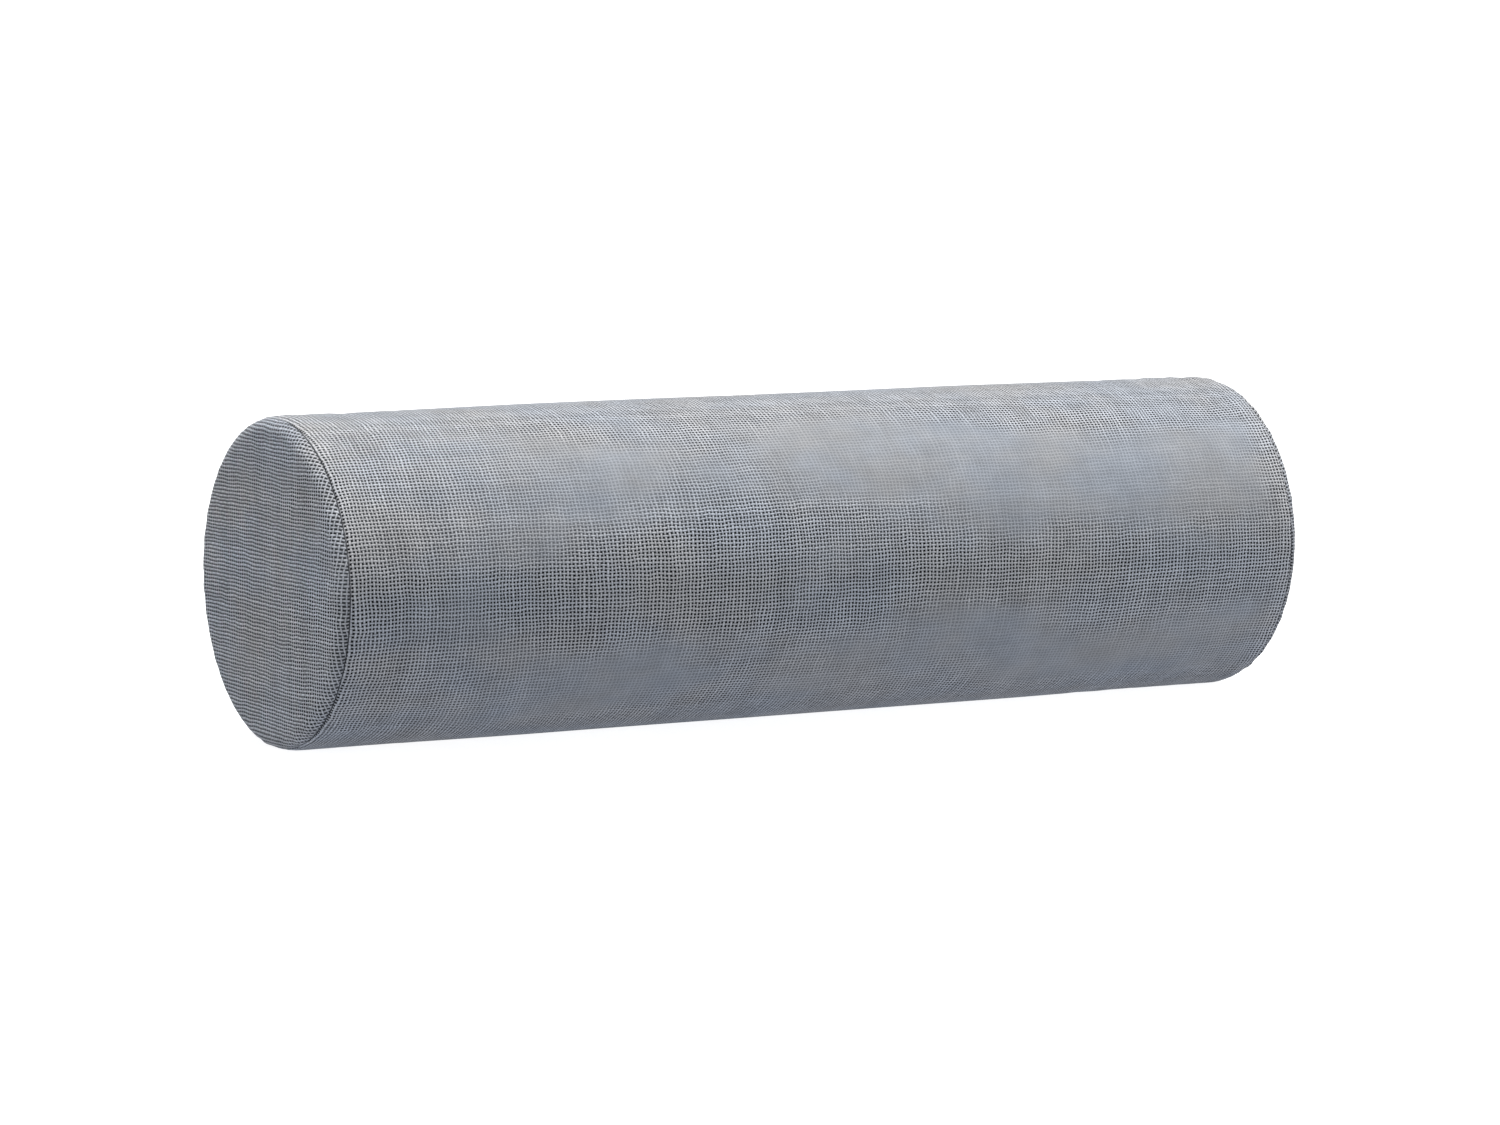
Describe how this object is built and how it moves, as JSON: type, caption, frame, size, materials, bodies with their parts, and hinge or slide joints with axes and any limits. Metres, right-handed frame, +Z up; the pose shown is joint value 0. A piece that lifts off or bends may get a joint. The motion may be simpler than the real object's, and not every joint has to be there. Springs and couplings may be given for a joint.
{
  "type": "foam roller",
  "caption": "Straight cylindrical foam roller in a removable woven fabric cover, with flat sewn ends, a rounded edge seam and a lengthwise zip along the back.",
  "frame": {"origin": "centre of the flat patch on the underside that the roller rests on", "axes": "+X along the roller towards its right end, +Z up, +Y out through the zip at the back"},
  "size_m": [0.51, 0.1544, 0.1494],
  "materials": {
    "firm_foam": "dense closed-cell foam, dull",
    "soft_foam": "open-cell foam, dull",
    "liner_knit": "thin knitted tube, undyed",
    "cover_weave": "open plain weave, blue-grey, soft sheen",
    "sewing_thread": "twisted polyester thread",
    "zip_tape": "close twill tape",
    "zip_nylon": "smooth nylon coil, satin",
    "zip_metal": "plated die-cast metal, satin"
  },
  "bodies": {
    "roller": {"firm_core": "firm_foam", "foam_sleeve": "soft_foam", "foam_end_left": "soft_foam", "foam_end_right": "soft_foam", "liner_body": "liner_knit", "liner_end_left": "liner_knit", "liner_end_right": "liner_knit", "cover_body": "cover_weave", "cover_end_left": "cover_weave", "cover_end_right": "cover_weave", "end_seam_thread_left": "sewing_thread", "end_seam_thread_right": "sewing_thread", "zip_tape_upper": "zip_tape", "zip_tape_lower": "zip_tape", "zip_coil_upper": "zip_nylon", "zip_coil_lower": "zip_nylon", "zip_top_stop_upper": "zip_metal", "zip_top_stop_lower": "zip_metal", "zip_bottom_stop": "zip_metal", "zip_topstitch_upper": "sewing_thread", "zip_topstitch_lower": "sewing_thread", "bar_tack_left": "sewing_thread", "bar_tack_right": "sewing_thread"},
    "slider": {"zip_slider": "zip_metal"},
    "pull_tab": {"zip_pull_tab": "zip_metal"}
  },
  "joints": [
    {"name": "slider_travel", "type": "slide", "parent": "roller", "child": "slider", "axis": [-1, 0, 0], "range_m": [0, 0.375]},
    {"name": "pull_tab_hinge", "type": "hinge", "parent": "slider", "child": "pull_tab", "pos_m": [0.187, 0.0776, 0.0744], "axis": [0, 0, -1], "range_deg": [0, 170]}
  ]
}
